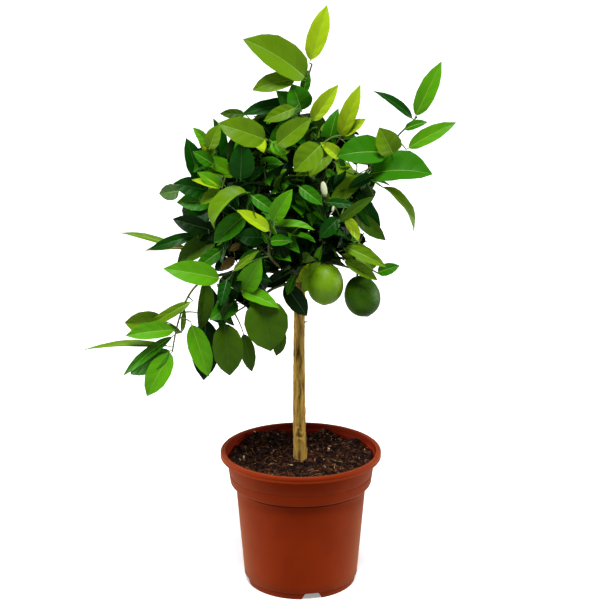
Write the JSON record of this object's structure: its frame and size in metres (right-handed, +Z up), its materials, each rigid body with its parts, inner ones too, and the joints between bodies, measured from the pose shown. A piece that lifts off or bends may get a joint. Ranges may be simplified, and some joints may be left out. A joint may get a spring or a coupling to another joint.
{
  "type": "potted lemon tree",
  "caption": "Young lemon tree on a bare upright trunk with a leafy rounded crown, green fruit and a reddish-brown round nursery pot of soil.",
  "frame": {"origin": "middle of the pot's flat underside, on the surface that the pot stands on", "axes": "+Z up along the trunk, -Y towards the side seen in the picture, +X to the right seen from that side"},
  "size_m": [0.4223, 0.2089, 0.7159],
  "materials": {
    "pot": "satin reddish-brown moulded plastic",
    "soil": "dark moist peat with bark fibres",
    "bark": "tan bark with fine upright cracks",
    "bough": "dull green young bark",
    "foliage": "glossy green leaves"
  },
  "bodies": {
    "root": {"pot": "pot", "soil": "soil", "trunk": "bark", "bough_leader": "bough", "bough_top_right": "bough", "bough_upper_left": "bough", "bough_middle": "bough", "bough_left": "bough", "bough_spray": "bough", "bough_low_left": "bough", "bough_front": "bough", "bough_fruit": "bough", "bough_low_right": "bough", "bough_right": "bough", "bough_back_left": "bough", "bough_back_right": "bough", "bough_back_low": "bough", "bough_back_top": "bough", "crown_top": "foliage", "crown_top_right": "foliage", "crown_upper_left": "foliage", "crown_left": "foliage", "crown_low_left": "foliage", "crown_spray": "foliage", "crown_front": "foliage", "crown_right": "foliage", "crown_low_right": "foliage", "crown_fruit": "foliage", "crown_middle": "foliage", "crown_back_left": "foliage", "crown_back_right": "foliage", "crown_back_low": "foliage", "crown_back_top": "foliage"}
  },
  "joints": []
}
